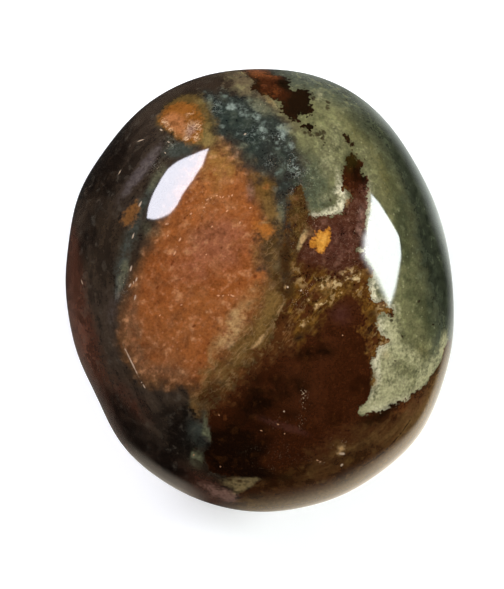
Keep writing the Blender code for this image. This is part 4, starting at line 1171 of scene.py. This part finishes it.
def make_window(name, azimuth, elevation, colour, strength, corners):
    """A pane of daylight, hung so that the stone mirrors it as a crisp white shape, soft where stated."""
    turn, lift = math.radians(azimuth), math.radians(elevation)
    towards = Vector((math.cos(lift) * math.cos(turn), math.cos(lift) * math.sin(turn), math.sin(lift)))
    along = Vector((-math.sin(turn), math.cos(turn), 0))
    up = towards.cross(along)
    middle = np.mean(corners, axis=0)[:2]
    pane = []
    for a, b, soft in corners:
        outward = np.array((a, b)) - middle
        pane.append((a, b))
        pane.append((a, b) + outward * soft / np.linalg.norm(outward))
    places = [towards * WINDOW_DISTANCE + along * a * CM + up * b * CM for a, b in pane]
    count = len(corners)
    edge = [(2 * k, 2 * k + 1, (2 * k + 3) % (2 * count), (2 * k + 2) % (2 * count)) for k in range(count)]
    data = bpy.data.meshes.new(name)
    data.from_pydata(places, [], [tuple(range(0, 2 * count, 2)), *edge])
    data.attributes.new("glow", "FLOAT", "POINT").data.foreach_set("value", [1.0, 0.0] * count)
    material = bpy.data.materials.new("daylight_" + name)
    material.use_nodes = True
    tree = material.node_tree
    tree.nodes.clear()
    glow = add_node(tree, "Attribute", attribute_name="glow").outputs["Fac"]
    glow = calc(tree, "MULTIPLY", calc(tree, "POWER", glow, GLOW_FALL), strength)
    glow = add_node(tree, "Emission", {"Color": linear(colour), "Strength": glow})
    add_node(tree, "OutputMaterial", {"Surface": glow.outputs[0]})
    data.materials.append(material)
    panel = bpy.data.objects.new(name, data)
    panel.visible_camera = False
    bpy.context.scene.collection.objects.link(panel)


# The room below the rim, as the polish mirrors it: by azimuth, how bright it is, and how far below
# the rim's level, as a sine, it starts and is full
ROOM_BELOW = (
    (-180, 0.02, 0.5, 0.9), (-141, 0.2, 0.5, 0.85), (-129, 0.52, 0.42, 0.68), (-117, 0.6, 0.4, 0.62),
    (-107, 0.02, 0.3, 0.8), (-92, 0.4, 0.05, 0.8), (-76, 1.1, 0.02, 0.7), (-60, 1.45, 0.05, 0.68),
    (-46, 1.75, 0.3, 0.6), (-28, 1.9, 0.5, 0.67), (-12, 1.1, 0.58, 0.78), (4, 0.66, 0.6, 0.98),
    (18, 1.45, 0.41, 0.84), (32, 0.82, 0.5, 0.9), (46, 0.84, 0.42, 0.9), (60, 0.19, 0.4, 0.9),
    (74, 0.32, 0.4, 0.9), (88, 0.06, 0.4, 0.9), (100, 0.02, 0.4, 0.9), (180, 0.02, 0.5, 0.9),
)
BRIGHTEST = 2.0


def make_surroundings():
    """The room: even soft light from all round, and what the polish mirrors beside the windows."""
    world = bpy.data.worlds.new("soft_room")
    bpy.context.scene.world = world
    world.use_nodes = True
    tree = world.node_tree
    tree.nodes.clear()
    way = add_node(tree, "TexCoord").outputs["Generated"]
    apart = add_node(tree, "SeparateXYZ", {0: way}).outputs
    below = calc(tree, "MULTIPLY", apart["Z"], -1.0)
    round_about = add_node(tree, "TexGradient", {0: way}, gradient_type="RADIAL").outputs["Fac"]
    ramp = add_node(tree, "ValToRGB", {0: round_about})
    stops = ramp.color_ramp.elements
    for azimuth, *_ in ROOM_BELOW[1:-1]:
        stops.new((azimuth + 180) / 360)
    for stop, (azimuth, brightness, start, full) in zip(stops, ROOM_BELOW):
        stop.position = (azimuth + 180) / 360
        stop.color = (brightness / BRIGHTEST, start, full, 1)
    stated = add_node(tree, "SeparateColor", {0: ramp.outputs["Color"]}).outputs
    share = rise(tree, below, stated["Green"], stated["Blue"])
    glow = calc(tree, "MULTIPLY", calc(tree, "MULTIPLY", stated["Red"], share), BRIGHTEST)
    path = add_node(tree, "LightPath")
    fill = add_node(tree, "Background", {"Color": linear("#ffffff"), "Strength": EVEN_LIGHT})
    dark = add_node(tree, "Background", {"Color": linear("#161616")})
    hue = painted(tree, {"north": apart["Y"]}, "#fff2de", (("#f4fcf6", "north", -0.5, 0.2, 1.0),))
    paper = add_node(tree, "Background", {"Color": hue, "Strength": glow})
    mirrored = add_node(tree, "AddShader", {0: dark.outputs[0], 1: paper.outputs[0]})
    seen = add_node(tree, "Background", {"Color": linear("#f4f4f4")})
    room = {0: path.outputs["Is Glossy Ray"], 1: fill.outputs[0], 2: mirrored.outputs[0]}
    room = add_node(tree, "MixShader", room)
    whole = {0: path.outputs["Is Camera Ray"], 1: room.outputs[0], 2: seen.outputs[0]}
    whole = add_node(tree, "MixShader", whole)
    add_node(tree, "OutputWorld", {"Surface": whole.outputs[0]})


pebble, points, shift = make_pebble()
trace_markings(pebble, points)
make_camera(shift)
make_floor()
for name, values in WINDOWS.items():
    make_window(name, *values)
make_surroundings()
polished_jasper(pebble)
bpy.context.scene.view_settings.view_transform = "Standard"
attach(pebble, "root")
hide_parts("pebble")
